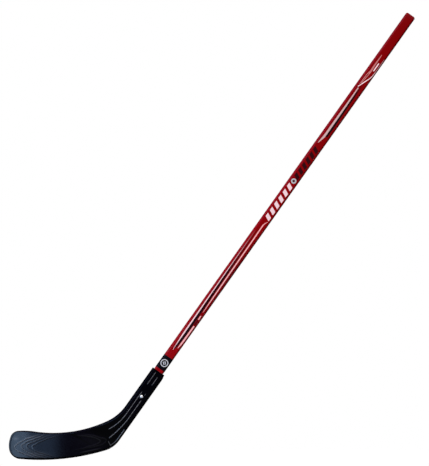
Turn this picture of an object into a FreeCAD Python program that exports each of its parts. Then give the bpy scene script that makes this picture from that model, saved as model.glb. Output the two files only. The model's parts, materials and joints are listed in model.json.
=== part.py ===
import FreeCAD, Part
import math
import os

import Sketcher

# An ice hockey stick with a laminated wood shaft and a moulded blade.
#
# Row frame: the stick stands as it is played, sole on the floor. X runs from toe to butt, Z is up, and Y
# is across the stick. The foot is the point where the shaft's axis meets the floor.
# Shaft frame: x runs up the shaft from the foot, y is the same as the row's Y, and z runs across the
# shaft's width, towards the front edge of the hosel. Distances "along the shaft" count from the foot.

Vector = FreeCAD.Vector

DIMENSIONS = [
    ("foot_x", -305.45, "where the shaft's axis meets the floor"),
    ("shaft_plane_y", -8.85, "middle plane of the shaft"),
    ("lie_angle", 54.67, "shaft above the floor, degrees"),
    # shaft
    ("shaft_width", 27.7, "over the film, in the plane of the blade"),
    ("shaft_thickness", 19.0, "over the film"),
    ("corner_radius", 5.0, "long edges of the wood"),
    ("butt_radius", 4.5, "rim of the butt end"),
    ("butt_distance", 1436.6, "end of the shaft"),
    ("ply_count", 9, "laminations through the thickness"),
    ("film_thickness", 0.3, "printed film and butt seal"),
    ("seal_length", 10.0, "dipped end of the shaft"),
    ("band_start", 293.7, "lower edge of the badge band"),
    ("band_length", 39.0, "badge band along the shaft"),
    ("band_thickness", 0.2, "badge band"),
    # hosel and socket
    ("mouth_distance", 286.4, "mouth of the socket"),
    ("socket_depth", 112.0, "from the mouth to the end of the wood"),
    ("glue_thickness", 0.5, "round the shaft and under its end"),
    ("hosel_front", 18.5, "axis to the front edge"),
    ("hosel_back", 20.9, "axis to the back edge"),
    ("hosel_thickness", 27.0, "across the stick"),
    ("mouth_setback", 2.0, "back edge drawn in at the mouth"),
    ("mouth_shoulder", 16.0, "length of that shoulder"),
    ("hosel_full", 150.0, "hosel is at full thickness above this"),
    ("hosel_fade", 25.0, "hosel has faded into the blade below this"),
    ("fade_thickness", 4.0, "of the fading wedge, inside the blade"),
    ("fade_handle", 0.4, "share of the fade that each end of its curve runs straight"),
    ("wedge_front", 88.0, "fading wedge, from the axis to its front end"),
    ("wedge_back", 61.5, "fading wedge, from the axis to its back end"),
    ("hosel_edge_radius", 6.0, "long edges of the hosel"),
    ("fade_edge_radius", 1.5, "the same edges where the hosel has faded"),
    # blade outline, from the foot
    ("sole_low_x", -147.0, "lowest point of the rocker"),
    ("sole_radius", 602.0, "rocker of the sole"),
    ("toe_x", -229.2, "furthest point of the toe"),
    ("toe_height", 37.4, "height of that point"),
    ("toe_radius", 66.0, "end of the toe"),
    ("toe_upper_radius", 24.0, "upper corner of the toe"),
    ("toe_lower_radius", 31.0, "lower corner of the toe"),
    ("crown_x", -189.5, "highest point of the toe"),
    ("crown_height", 77.2, "blade height there"),
    ("waist_x", -112.1, "lowest point of the top edge"),
    ("waist_height", 71.6, "blade height there"),
    ("waist_radius", 341.0, "hollow of the top edge"),
    ("throat_radius", 122.0, "top edge into the hosel"),
    ("heel_radius", 71.0, "sole into the hosel"),
    # blade section
    ("heel_thickness", 9.0, "blade at the heel"),
    ("toe_thickness", 6.0, "blade at the toe"),
    ("curve_radius", 850.0, "curve of the blade, seen from above"),
    ("blade_edge_radius", 2.5, "edges of the blade"),
    # ribs
    ("rib_width", 1.6, "moulded ribs"),
    ("rib_height", 0.8, "above the hosel's face"),
    ("front_rib", 4.6, "front rib, from the axis"),
    ("back_rib", -7.1, "back rib, from the axis"),
    ("heel_rib", -15.3, "heel rib, from the axis"),
    # screw
    ("screw_distance", 206.0, "screw along the shaft"),
    ("screw_offset", -2.0, "screw across the shaft"),
    ("screw_head_radius", 4.3, "pan head"),
    ("screw_head_height", 2.4, "pan head"),
    ("screw_dome_radius", 4.8, "top of the pan head"),
    ("screw_shank_radius", 1.75, "shank"),
    ("screw_length", 18.0, "shank under the head"),
    ("screw_point_length", 4.4, "tapered end of the shank"),
    ("screw_tip_radius", 0.2, "blunt tip of the point"),
    ("recess_width", 1.1, "cross recess"),
    ("recess_length", 4.8, "cross recess"),
    ("recess_depth", 1.3, "cross recess"),
    # not a size of the stick
    ("overrun", 5.0, "how far blanks and cutting tools run past what they trim"),
]
TOLERANCE = 0.01  # mm, for telling edges and faces apart

doc = FreeCAD.newDocument("hockey_stick")
sheet = doc.addObject("Spreadsheet::Sheet", "Sheet")
for row, (alias, value, note) in enumerate(DIMENSIONS, start=1):
    sheet.set(f"A{row}", alias)
    sheet.set(f"B{row}", str(value))
    sheet.set(f"C{row}", note)
    sheet.setAlias(f"B{row}", alias)
doc.recompute()

pieces = []


def size(alias):
    """A driving dimension's value, read from the sheet."""
    return float(getattr(sheet, alias))


def bind(item, **expressions):
    """Bind properties of an object to expressions on the sheet's cells."""
    for name, expression in expressions.items():
        item.setExpression(name.replace("__", "."), expression)


def keep(item, label):
    """Name a finished sub-part. Its label is its node's name."""
    item.Label = label
    pieces.append(item)
    return item


def combine(kind, name, base, tool):
    """A boolean of two objects: kind is Cut, Common or Fuse."""
    result = doc.addObject("Part::" + kind, name)
    result.Base = base
    result.Tool = tool
    result.Refine = False  # merging faces fails on the blade's tangent fillets
    return result


def shaft_placement():
    """Carries the shaft frame into the row frame."""
    foot = Vector(size("foot_x"), size("shaft_plane_y"), 0)
    return FreeCAD.Placement(foot, FreeCAD.Rotation(Vector(0, 1, 0), -size("lie_angle")))


# ---------------------------------------------------------------- bars along the shaft


def origin_plane(body, role):
    return next(f for f in body.Origin.OriginFeatures if f.Role == role)


def rectangle_sketch(body, name, across, along):
    """A rectangle centred on the body's x axis. across is its size in y and along its size in z."""
    sketch = body.newObject("Sketcher::SketchObject", name)
    sketch.AttachmentSupport = (origin_plane(body, "YZ_Plane"), [""])
    sketch.MapMode = "FlatFace"
    y, z = size("shaft_thickness") / 2, size("shaft_width") / 2
    corners = [Vector(-y, -z), Vector(y, -z), Vector(y, z), Vector(-y, z)]
    for i in range(4):
        sketch.addGeometry(Part.LineSegment(corners[i], corners[(i + 1) % 4]), False)
    for i in range(4):
        sketch.addConstraint(Sketcher.Constraint("Coincident", i, 2, (i + 1) % 4, 1))
    for i in (0, 2):
        sketch.addConstraint(Sketcher.Constraint("Horizontal", i))
        sketch.addConstraint(Sketcher.Constraint("Vertical", i + 1))
    sketch.addConstraint(Sketcher.Constraint("Symmetric", 0, 1, 1, 2, -1, 1))
    thickness = sketch.addConstraint(Sketcher.Constraint("DistanceX", 0, 1, 0, 2, 2 * y))
    width = sketch.addConstraint(Sketcher.Constraint("DistanceY", 1, 1, 1, 2, 2 * z))
    sketch.renameConstraint(thickness, "across")
    sketch.renameConstraint(width, "along")
    bind(sketch, Constraints__across=across, Constraints__along=along)
    return sketch


def edge_names(shape, wanted):
    """The names of a shape's edges whose two ends pass a test."""
    names = []
    for number, edge in enumerate(shape.Edges, start=1):
        ends = [vertex.Point for vertex in edge.Vertexes]
        if len(ends) == 2 and wanted(*ends):
            names.append(f"Edge{number}")
    return names


def bar(name, start, finish, grow, round_end=False):
    """A bar along the shaft with rounded long edges.

    grow is how far its faces stand outside the wood, and round_end rounds the rim of its far end.
    """
    body = doc.addObject("PartDesign::Body", name)
    across = f"Sheet.shaft_thickness - 2 * Sheet.film_thickness + 2 * ({grow})"
    along = f"Sheet.shaft_width - 2 * Sheet.film_thickness + 2 * ({grow})"
    section = rectangle_sketch(body, name + "_section", across, along)
    pad = body.newObject("PartDesign::Pad", name + "_pad")
    pad.Profile = section
    bind(pad, Length=f"{finish} - ({start})")
    bind(body, Placement__Base__x=start)
    doc.recompute()

    edges = body.newObject("PartDesign::Fillet", name + "_edges")
    edges.Base = (pad, edge_names(pad.Shape, lambda a, b: abs(a.x - b.x) > TOLERANCE))
    bind(edges, Radius=f"Sheet.corner_radius + {grow}")
    doc.recompute()
    if round_end:
        end = edges.Shape.BoundBox.XMax
        rim = body.newObject("PartDesign::Fillet", name + "_rim")
        rim.Base = (edges, edge_names(edges.Shape, lambda a, b: min(a.x, b.x) > end - TOLERANCE))
        bind(rim, Radius=f"Sheet.butt_radius + {grow}")
        doc.recompute()
    return body


WOOD_START = "Sheet.mouth_distance - Sheet.socket_depth"
FILM = "Sheet.film_thickness"
GLUE = "Sheet.film_thickness + Sheet.glue_thickness"
BAND = "Sheet.film_thickness + Sheet.band_thickness"

wood = bar("wood_bar", WOOD_START, f"Sheet.butt_distance - {FILM}", "0", round_end=True)
skin = bar("film_bar", WOOD_START, "Sheet.butt_distance", FILM, round_end=True)
socket_fill = bar(
    "socket_bar", f"{WOOD_START} - Sheet.glue_thickness", "Sheet.mouth_distance", GLUE
)
band_bar = bar("band_bar", "Sheet.band_start", "Sheet.band_start + Sheet.band_length", BAND)


# ---------------------------------------------------------------- screw, along its own z axis


def screw_placement(depth):
    """On the hosel's near face, z into the stick, and depth further in."""
    face = -size("hosel_thickness") / 2 + depth
    seat = Vector(size("screw_distance"), face, size("screw_offset"))
    local = FreeCAD.Placement(seat, FreeCAD.Rotation(Vector(1, 0, 0), -90))
    return shaft_placement().multiply(local)


def cylinder(name, radius, height, base="0"):
    """A cylinder along z, from base to base + height."""
    item = doc.addObject("Part::Cylinder", name)
    bind(item, Radius=radius, Height=height, Placement__Base__z=base)
    return item


def screw():
    """A pan-head screw. Its head stands on z = 0 towards -z, and its shank runs along +z."""
    dome = doc.addObject("Part::Sphere", "head_dome")
    bind(dome, Radius="Sheet.screw_dome_radius")
    bind(dome, Placement__Base__z="Sheet.screw_dome_radius - Sheet.screw_head_height")
    disc = cylinder(
        "head_disc", "Sheet.screw_head_radius", "Sheet.screw_head_height", "-Sheet.screw_head_height"
    )
    head = combine("Common", "screw_head", disc, dome)

    straight = "Sheet.screw_length - Sheet.screw_point_length"
    shank = cylinder("screw_shank", "Sheet.screw_shank_radius", straight)
    point = doc.addObject("Part::Cone", "screw_point")
    bind(point, Radius1="Sheet.screw_shank_radius", Radius2="Sheet.screw_tip_radius")
    bind(point, Height="Sheet.screw_point_length", Placement__Base__z=straight)
    blank = doc.addObject("Part::MultiFuse", "screw_blank")
    blank.Shapes = [head, shank, point]

    slots = []
    for name, along, across in (
        ("recess_a", "Sheet.recess_length", "Sheet.recess_width"),
        ("recess_b", "Sheet.recess_width", "Sheet.recess_length"),
    ):
        slot = doc.addObject("Part::Box", name)
        bind(slot, Length=along, Width=across, Height="Sheet.recess_depth + Sheet.overrun")
        bind(slot, Placement__Base__x=f"-({along}) / 2", Placement__Base__y=f"-({across}) / 2")
        bind(slot, Placement__Base__z="-Sheet.screw_head_height - Sheet.overrun")
        slots.append(slot)
    recess = doc.addObject("Part::MultiFuse", "screw_recess")
    recess.Shapes = slots
    return combine("Cut", "blade_screw_solid", blank, recess)


screw_solid = keep(screw(), "blade_screw")
screw_solid.Placement = screw_placement(0)

# The hole that the screw cuts, used on every piece that it passes through.
pilot = cylinder("pilot_hole", "Sheet.screw_shank_radius", "Sheet.screw_length")
pilot.Placement = shaft_placement().inverse().multiply(screw_placement(0))


# ---------------------------------------------------------------- shaft


def slab(number):
    """The layer of the bar that one ply takes up. Ply 1 is on the near side."""
    item = doc.addObject("Part::Box", f"ply_slab_{number}")
    pitch = "(Sheet.shaft_thickness - 2 * Sheet.film_thickness) / Sheet.ply_count"
    bind(item, Length="Sheet.butt_distance", Width=pitch, Height="Sheet.shaft_width * 2")
    bind(item, Placement__Base__y=f"{pitch} * ({number - 1} - Sheet.ply_count / 2)")
    bind(item, Placement__Base__z="-Sheet.shaft_width")
    return item


for number in range(1, int(size("ply_count")) + 1):
    layer = combine("Common", f"ply_layer_{number}", wood, slab(number))
    ply = keep(combine("Cut", f"ply_{number}", layer, pilot), f"shaft_ply_{number}")
    ply.Placement = shaft_placement()

shell = combine("Cut", "shaft_shell", skin, wood)
end_box = doc.addObject("Part::Box", "end_box")
bind(end_box, Length="Sheet.seal_length * 2", Width="Sheet.shaft_width * 2")
bind(end_box, Height="Sheet.shaft_width * 2")
bind(end_box, Placement__Base__x="Sheet.butt_distance - Sheet.seal_length")
bind(end_box, Placement__Base__y="-Sheet.shaft_width", Placement__Base__z="-Sheet.shaft_width")

butt_seal = keep(combine("Common", "seal", shell, end_box), "butt_seal")
open_film = combine("Cut", "open_film", shell, end_box)
printed_film = keep(combine("Cut", "film", open_film, pilot), "printed_film")
badge_band = keep(combine("Cut", "band", band_bar, skin), "badge_band")
glue = combine("Cut", "glue", socket_fill, skin)
glue_sleeve = keep(combine("Cut", "glue_drilled", glue, pilot), "glue_sleeve")
for item in (butt_seal, printed_film, badge_band, glue_sleeve):
    item.Placement = shaft_placement()


# ---------------------------------------------------------------- blade outline
#
# The outline is a chain of arcs that touch. Each arc is (centre, radius), with a negative radius where
# the edge is hollow. Points are in the plane of the stick, from the foot: x along the floor, z up.


def along_shaft(distance, across):
    """The point of the plane at this distance up the shaft and this far in front of its axis."""
    lie = math.radians(size("lie_angle"))
    x = distance * math.cos(lie) - across * math.sin(lie)
    z = distance * math.sin(lie) + across * math.cos(lie)
    return Vector(x, 0, z)


def blend(first, second, radius, left):
    """The arc of this radius that touches two arcs. left picks the solution left of first to second."""
    (a, ra), (b, rb) = first, second
    da, db = abs(ra - radius), abs(rb - radius)
    gap = b - a
    along = (da**2 - db**2 + gap.Length**2) / (2 * gap.Length)
    across = math.sqrt(da**2 - along**2) * (1 if left else -1)
    forward = Vector(gap).normalize()
    sideways = Vector(-forward.z, 0, forward.x)
    return (a + forward * along + sideways * across, radius)


def blend_to_edge(arc, edge, radius, inside):
    """The arc that touches another arc and the hosel's straight edge. inside is +1 if the stick lies
    in front of that edge, and -1 if it lies behind it."""
    centre, other = arc
    across = edge + inside * radius
    foot_distance = centre.dot(along_shaft(1, 0))
    centre_across = centre.dot(along_shaft(0, 1))
    reach = abs(other - radius)
    distance = foot_distance - math.sqrt(reach**2 - (across - centre_across) ** 2)
    return (along_shaft(distance, across), radius), distance


def touch(first, second):
    """The point where two touching arcs meet."""
    (a, ra), (b, rb) = first, second
    outward = (a - b) * (1 / (rb - ra))
    return a + outward * ra


def arc_edge(arc, start, finish):
    """The edge of an arc between two of its points, the short way round."""
    centre, radius = arc
    middle = (start - centre) + (finish - centre)
    middle.normalize()
    return Part.Arc(start, centre + middle * abs(radius), finish)


def outline_edges():
    """The blade's and hosel's outline, from the back of the mouth round the heel, sole and toe."""
    sole = (Vector(size("sole_low_x"), 0, size("sole_radius")), size("sole_radius"))
    toe_centre = Vector(size("toe_x") + size("toe_radius"), 0, size("toe_height"))
    toe = (toe_centre, size("toe_radius"))
    waist_centre = Vector(size("waist_x"), 0, size("waist_height") + size("waist_radius"))
    waist = (waist_centre, -size("waist_radius"))
    # The crown's top is given, and its radius is the one that touches the waist.
    step_x = size("crown_x") - waist_centre.x
    step_z = waist_centre.z - size("crown_height")
    crown_radius = (step_x**2 + step_z**2 - size("waist_radius") ** 2) / (
        2 * (size("waist_radius") - step_z)
    )
    crown = (Vector(size("crown_x"), 0, size("crown_height") - crown_radius), crown_radius)

    heel, heel_top = blend_to_edge(sole, -size("hosel_back"), size("heel_radius"), 1)
    throat, throat_top = blend_to_edge(waist, size("hosel_front"), -size("throat_radius"), -1)
    lower = blend(sole, toe, size("toe_lower_radius"), left=False)
    upper = blend(toe, crown, size("toe_upper_radius"), left=False)

    mouth = size("mouth_distance")
    back_mouth = along_shaft(mouth, -size("hosel_back") + size("mouth_setback"))
    shoulder = along_shaft(mouth - size("mouth_shoulder"), -size("hosel_back"))
    front_mouth = along_shaft(mouth, size("hosel_front"))
    heel_start = along_shaft(heel_top, -size("hosel_back"))
    throat_end = along_shaft(throat_top, size("hosel_front"))

    chain = [heel, sole, lower, toe, upper, crown, waist, throat]
    points = [heel_start]
    points += [touch(a, b) for a, b in zip(chain, chain[1:])]
    points.append(throat_end)
    edges = [Part.LineSegment(back_mouth, shoulder), Part.LineSegment(shoulder, heel_start)]
    for arc, start, finish in zip(chain, points, points[1:]):
        edges.append(arc_edge(arc, start, finish))
    edges.append(Part.LineSegment(throat_end, front_mouth))
    edges.append(Part.LineSegment(front_mouth, back_mouth))
    return edges


def profile(name, edges):
    """A closed wire, made with Part's own functions because its arcs are worked out in this file."""
    item = doc.addObject("Part::Feature", name)
    item.Shape = Part.Wire(Part.sortEdges(edges)[0])
    return item


def prism(name, base, direction, forward, backward="0"):
    """A solid made by running a profile along a direction, both ways."""
    item = doc.addObject("Part::Extrusion", name)
    item.Base = base
    item.DirMode = "Custom"
    item.Dir = direction
    item.Solid = True
    bind(item, LengthFwd=forward, LengthRev=backward)
    return item


# ---------------------------------------------------------------- blade


def camber(x):
    """How far the middle of the blade has curved away from the shaft's plane at x from the foot."""
    radius = size("curve_radius")
    return radius - math.sqrt(radius**2 - min(x, 0) ** 2)


def half_thickness(x):
    """Half the blade's thickness, which thins evenly from the foot to the toe."""
    share = min(x, 0) / size("toe_x")
    return (size("heel_thickness") * (1 - share) + size("toe_thickness") * share) / 2


def line_edge(start, finish):
    return Part.LineSegment(start, finish).toShape()


def plate_edges():
    """The blade seen from above: straight under the hosel, curved and thinner towards the toe."""
    toe_end = size("toe_x") - size("overrun")
    hosel_end = size("mouth_distance")
    edges = []
    ends = []
    for side in (-1, 1):
        rail = [
            Vector(x, camber(x) + side * half_thickness(x), 0) for x in (0, toe_end / 2, toe_end)
        ]
        far = Vector(hosel_end, side * half_thickness(0), 0)
        edges.append(Part.Arc(*rail).toShape())
        edges.append(line_edge(rail[0], far))
        ends.append((rail[2], far))
    edges += [line_edge(a, b) for a, b in zip(*ends)]
    return edges


def wedge_edges(grow):
    """The hosel seen along its width, in the shaft frame: full thickness above, fading into the
    blade below. grow moves both faces out."""
    full = size("hosel_full")
    fade = size("hosel_fade")
    thick = size("hosel_thickness") / 2 + grow
    thin = size("fade_thickness") / 2 + grow
    reach = (full - fade) * size("fade_handle")
    edges = []
    ends = []
    for side in (-1, 1):
        poles = [
            Vector(full, side * thick, 0),
            Vector(full - reach, side * thick, 0),
            Vector(fade + reach, side * thin, 0),
            Vector(fade, side * thin, 0),
        ]
        curve = Part.BezierCurve()
        curve.setPoles(poles)
        top = Vector(size("mouth_distance"), side * thick, 0)
        edges.append(curve.toShape())
        edges.append(line_edge(top, poles[0]))
        ends.append((top, poles[3]))
    edges += [line_edge(a, b) for a, b in zip(*ends)]
    return edges


def outline_rims(solid, lowest, highest):
    """The edges where the blade's faces meet its outline, numbered, between two distances up the
    shaft."""
    up_shaft = along_shaft(1, 0)
    walls = []
    for face in solid.Faces:
        low_u, high_u, low_v, high_v = face.ParameterRange
        normal = face.normalAt((low_u + high_u) / 2, (low_v + high_v) / 2)
        if abs(normal.y) < TOLERANCE:
            walls.append(face)
    rims = []
    for number, edge in enumerate(solid.Edges, start=1):
        box = edge.BoundBox
        heights = [vertex.Point.dot(up_shaft) for vertex in edge.Vertexes]
        runs_across = box.XLength < TOLERANCE and box.ZLength < TOLERANCE
        touching = sum(any(edge.isSame(other) for other in wall.Edges) for wall in walls)
        if touching == 1 and not runs_across and lowest < min(heights) < highest:
            rims.append((number, edge))
    return rims


def round_rims(name, base, rims, radius_at):
    """Round edges with a radius that changes along them."""
    item = doc.addObject("Part::Fillet", name)
    item.Base = base
    item.Edges = [
        (
            number,
            radius_at(edge.valueAt(edge.FirstParameter)),
            radius_at(edge.valueAt(edge.LastParameter)),
        )
        for number, edge in rims
    ]
    return item


def hosel_radius_at(point):
    """The hosel's edge radius, which shrinks as the hosel fades into the blade."""
    span = size("hosel_full") - size("hosel_fade")
    share = (point.dot(along_shaft(1, 0)) - size("hosel_fade")) / span
    share = min(max(share, 0), 1)
    return size("fade_edge_radius") * (1 - share) + size("hosel_edge_radius") * share


def blade_radius_at(point):
    return size("blade_edge_radius")


# The outline cut from two slabs: the blade's curved plate, and the hosel's wedge. The mouth is further
# from the foot than any other point of the blade, so the slabs and the outline's prism run that far.
ACROSS = Vector(0, 1, 0)
UPWARD = Vector(0, 0, 1)
BEYOND = "Sheet.mouth_distance"

outline = profile("outline", [edge.toShape() for edge in outline_edges()])
silhouette = prism("silhouette", outline, ACROSS, BEYOND, BEYOND)
plate_profile = profile("plate_profile", plate_edges())
plate = prism("plate", plate_profile, UPWARD, BEYOND, "Sheet.overrun")
wedge_ends = ("Sheet.wedge_front", "Sheet.wedge_back")
wedge = prism("wedge", profile("wedge_profile", wedge_edges(0)), UPWARD, *wedge_ends)
foot = Vector(size("foot_x"), size("shaft_plane_y"), 0)
foot_placement = FreeCAD.Placement(foot, FreeCAD.Rotation())
shaft_from_foot = foot_placement.inverse().multiply(shaft_placement())
wedge.Placement = shaft_from_foot

plate_blank = combine("Common", "plate_blank", silhouette, plate)
hosel_blank = combine("Common", "hosel_blank", silhouette, wedge)
doc.recompute()
below_shoulder = size("mouth_distance") - size("mouth_shoulder") - TOLERANCE
hosel_rims = outline_rims(hosel_blank.Shape, 0, below_shoulder)
plate_rims = outline_rims(plate_blank.Shape, -size("mouth_distance"), size("mouth_distance"))
round_plate = round_rims("round_plate", plate_blank, plate_rims, blade_radius_at)
round_hosel = round_rims("round_hosel", hosel_blank, hosel_rims, hosel_radius_at)
plain_blade = combine("Fuse", "plain_blade", round_plate, round_hosel)


# ---------------------------------------------------------------- ribs on both faces of the hosel

RIB_BENDS = {
    # the sheet's alias: how far up the shaft its line bends, and the radius below the bend
    "front_rib": (145.0, 127.0),
    "back_rib": (145.0, 253.0),
    "heel_rib": (80.0, 56.0),
}
RIBS = [
    # name, the line it lies on, lower end, upper end
    ("front_rib_lower", "front_rib", 84.6, 219.0),
    ("front_rib_upper", "front_rib", 240.0, 282.0),
    ("back_rib_lower", "back_rib", 66.1, 199.0),
    ("back_rib_middle", "back_rib", 211.0, 221.0),
    ("back_rib_upper", "back_rib", 245.0, 274.0),
    ("heel_rib_lower", "heel_rib", 52.0, 112.0),
]


def rib_edges(line, lower, upper):
    """A rib's band seen from the side, in the shaft frame. It runs straight down to the bend, and
    below that it follows an arc towards the front edge, down to lower."""
    across = size(line)
    bend, radius = RIB_BENDS[line]
    bend = min(max(bend, lower), upper)
    edges = []
    ends = []
    for side in (-size("rib_width") / 2, size("rib_width") / 2):

        def on_band(distance):
            drop = max(bend - distance, 0)
            rise = radius - side - math.sqrt((radius - side) ** 2 - drop**2)
            return Vector(distance, 0, across + side + rise)

        edges.append(line_edge(on_band(upper), on_band(bend)))
        if bend > lower:
            middle = on_band((bend + lower) / 2)
            edges.append(Part.Arc(on_band(bend), middle, on_band(lower)).toShape())
        ends.append((on_band(upper), on_band(lower)))
    edges += [line_edge(a, b) for a, b in zip(*ends)]
    return edges


rib_profile = profile("rib_wedge_profile", wedge_edges(size("rib_height")))
rib_wedge = prism("rib_wedge", rib_profile, UPWARD, *wedge_ends)
rib_bands = []
for name, line, lower, upper in RIBS:
    band_profile = profile(name + "_profile", rib_edges(line, lower, upper))
    rib_bands.append(prism(name, band_profile, ACROSS, BEYOND, BEYOND))
all_bands = doc.addObject("Part::MultiFuse", "rib_bands")
all_bands.Shapes = rib_bands
ribs = combine("Common", "ribs", rib_wedge, all_bands)
ribs.Placement = shaft_from_foot
ribbed_blade = combine("Fuse", "ribbed_blade", plain_blade, ribs)

# The socket and the screw's hole are cut last.
openings = doc.addObject("Part::MultiFuse", "socket_and_hole")
openings.Shapes = [socket_fill, pilot]
openings.Placement = shaft_from_foot
blade = keep(combine("Cut", "blade_solid", ribbed_blade, openings), "blade")
blade.Placement = foot_placement


# ---------------------------------------------------------------- check and write


def check():
    """Stop if any object failed, or if a sub-part has no sound solid."""
    for item in doc.Objects:
        if {"Invalid", "Error"} & set(item.State):
            raise RuntimeError(f"{item.Label} failed: {item.State}")
    for item in pieces:
        if item.Shape.isNull() or not item.Shape.isValid() or not item.Shape.Solids:
            raise RuntimeError(f"{item.Label} has no sound solid")


def describe(label, shape):
    """Print a shape's solids, volume and exact box."""
    box = shape.optimalBoundingBox(False)
    print(
        f"{label:14} {len(shape.Solids):2} solid {shape.Volume / 1000:8.2f} cm3 "
        f"x {box.XMin:8.2f} {box.XMax:8.2f}  y {box.YMin:7.2f} {box.YMax:7.2f}  "
        f"z {box.ZMin:8.2f} {box.ZMax:8.2f}"
    )


doc.recompute()
check()
os.makedirs("parts", exist_ok=True)
for item in pieces:
    item.Shape.exportStep(f"parts/{item.Label}.step")
    describe(item.Label, item.Shape)
describe("whole", Part.Compound([item.Shape for item in pieces]))
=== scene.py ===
import cmath
import json
import math

import bpy
import numpy as np
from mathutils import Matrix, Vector


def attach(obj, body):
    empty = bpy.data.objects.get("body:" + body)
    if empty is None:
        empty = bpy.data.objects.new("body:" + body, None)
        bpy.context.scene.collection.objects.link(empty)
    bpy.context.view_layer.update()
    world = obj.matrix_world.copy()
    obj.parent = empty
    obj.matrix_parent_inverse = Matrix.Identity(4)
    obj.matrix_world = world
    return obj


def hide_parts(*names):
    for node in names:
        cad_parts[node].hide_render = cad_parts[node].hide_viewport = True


# The looks of an ice hockey stick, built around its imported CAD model.
#
# Two more frames are used besides the row frame, both in millimetres. In the foot frame, the origin is
# the point where the shaft's axis meets the floor, and a point of the stick's plane is a complex number,
# x along the floor and z up. In the shaft frame, s runs up the axis from the foot, y is the row's Y, and
# across runs towards the hosel's front edge. row() turns the foot frame into the row frame.

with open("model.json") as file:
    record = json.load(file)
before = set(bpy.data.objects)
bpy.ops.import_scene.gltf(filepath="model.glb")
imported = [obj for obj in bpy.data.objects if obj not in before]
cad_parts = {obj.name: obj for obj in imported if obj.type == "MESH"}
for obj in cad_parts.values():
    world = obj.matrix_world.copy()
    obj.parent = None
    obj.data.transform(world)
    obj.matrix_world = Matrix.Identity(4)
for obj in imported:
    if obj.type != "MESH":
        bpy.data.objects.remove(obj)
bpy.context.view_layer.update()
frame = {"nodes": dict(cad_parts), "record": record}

MM = 0.001
NEAR, FAR = -1, 1

butt_end = next(m for m in frame["record"]["mounts"] if m["name"] == "butt_end")
AXIS = Vector(butt_end["axis"]).normalized()
FOOT = Vector(butt_end["pos_m"]) - AXIS * (butt_end["pos_m"][2] / AXIS.z)
LIE = math.atan2(AXIS.z, AXIS.x)
UP = cmath.exp(1j * LIE)
FRONT = 1j * UP

# Shaft
SHAFT_WIDTH = 27.7
SHAFT_THICKNESS = 19.0
SHAFT_CORNER = 5.3
BAND_THICKNESS = 0.2
PLIES = 9

# Hosel and socket
MOUTH = 286.4
SOCKET_FLOOR = 173.9
SOCKET_HALF = complex(10.0, 14.35)
SOCKET_CORNER = 5.8
MOUTH_EDGE = 1.2
SOCKET_EDGE = 0.4
HOSEL_FRONT = 18.5
HOSEL_BACK = 20.9
HOSEL_HALF = 13.5
HOSEL_FULL = 150.0
HOSEL_FADE = 25.0
FADE_HALF = 2.0
FADE_SLOPE = 0.35
WEDGE_REACH = 0.4
WEDGE_SAMPLES = 200
MOUTH_SETBACK = 2.0
MOUTH_SHOULDER = 16.0
HOSEL_EDGE = 6.0
BLADE_EDGE = 2.5
BLADE_EDGE_REACH = 5.2

# Blade outline, in the foot frame
SOLE_LOW_X = -147.0
SOLE_RADIUS = 602.0
TOE_X = -229.2
TOE_HEIGHT = 37.4
TOE_RADIUS = 66.0
TOE_UPPER_RADIUS = 24.0
TOE_LOWER_RADIUS = 31.0
CROWN = complex(-189.5, 77.2)
WAIST = complex(-112.1, 71.6)
WAIST_RADIUS = 341.0
THROAT_RADIUS = 122.0
HEEL_RADIUS = 71.0

# Blade section
HEEL_HALF = 4.5
TOE_HALF = 3.0
CURVE_RADIUS = 850.0
SECTION_BLEND = 3.0

# From EDGE_START up the shaft, over EDGE_GROWTH, the rim's rounding grows from the blade's to the hosel's.
EDGE_START = 60.0
EDGE_GROWTH = 90.0

# Blade mesh. The steps along it are counted to TURN_START_X, to where the hosel is full, and to its mouth.
TURN_START_X = -10.0
STEPS_ALONG = (200, 100, 120)
STEPS_ACROSS = 88
STEPS_ROUND = 7
STEPS_MOUTH = 4
STEPS_SOCKET_EDGE = 3
SOCKET_LOOPS = 6
SOCKET_TOP_LOOP = 4.0
FLOOR_SHARES = (0.66, 0.33)
ARC_SAMPLES = 400


def ease(share):
    """Smooth step from 0 to 1."""
    share = np.clip(share, 0, 1)
    return share * share * (3 - 2 * share)


def plane(s, across):
    """A point of the stick's plane from its shaft frame coordinates."""
    return UP * (s + 1j * across)


def shaft_frame(point):
    """s and across of a point of the stick's plane."""
    turned = point * UP.conjugate()
    return turned.real, turned.imag


def row(point, y):
    """Points of the foot frame in the row frame, in metres."""
    point, y = np.broadcast_arrays(point, y)
    columns = (point.real.ravel(), y.ravel(), point.imag.ravel())
    return np.stack(columns, axis=1) * MM + np.array(FOOT)


# ---------------------------------------------------------------- meshes


def strip(first, second, closed=False):
    """Quads between two equally long rows of vertex numbers."""
    if closed:
        first, second = np.append(first, first[0]), np.append(second, second[0])
    return np.stack([first[:-1], first[1:], second[1:], second[:-1]], axis=1)


def grid_faces(ids):
    """Quads of a grid of vertex numbers."""
    return np.concatenate([strip(a, b) for a, b in zip(ids, ids[1:])])


def new_piece(name, vertices, faces, material, smooth=True):
    """A mesh piece that rides on the stick."""
    mesh = bpy.data.meshes.new(name)
    mesh.from_pydata(vertices.tolist(), [], [list(map(int, face)) for face in faces])
    mesh.polygons.foreach_set("use_smooth", [smooth] * len(mesh.polygons))
    mesh.materials.append(material)
    mesh.update()
    piece = bpy.data.objects.new(name, mesh)
    bpy.context.scene.collection.objects.link(piece)
    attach(piece, "root")
    return piece


# ---------------------------------------------------------------- materials


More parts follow.
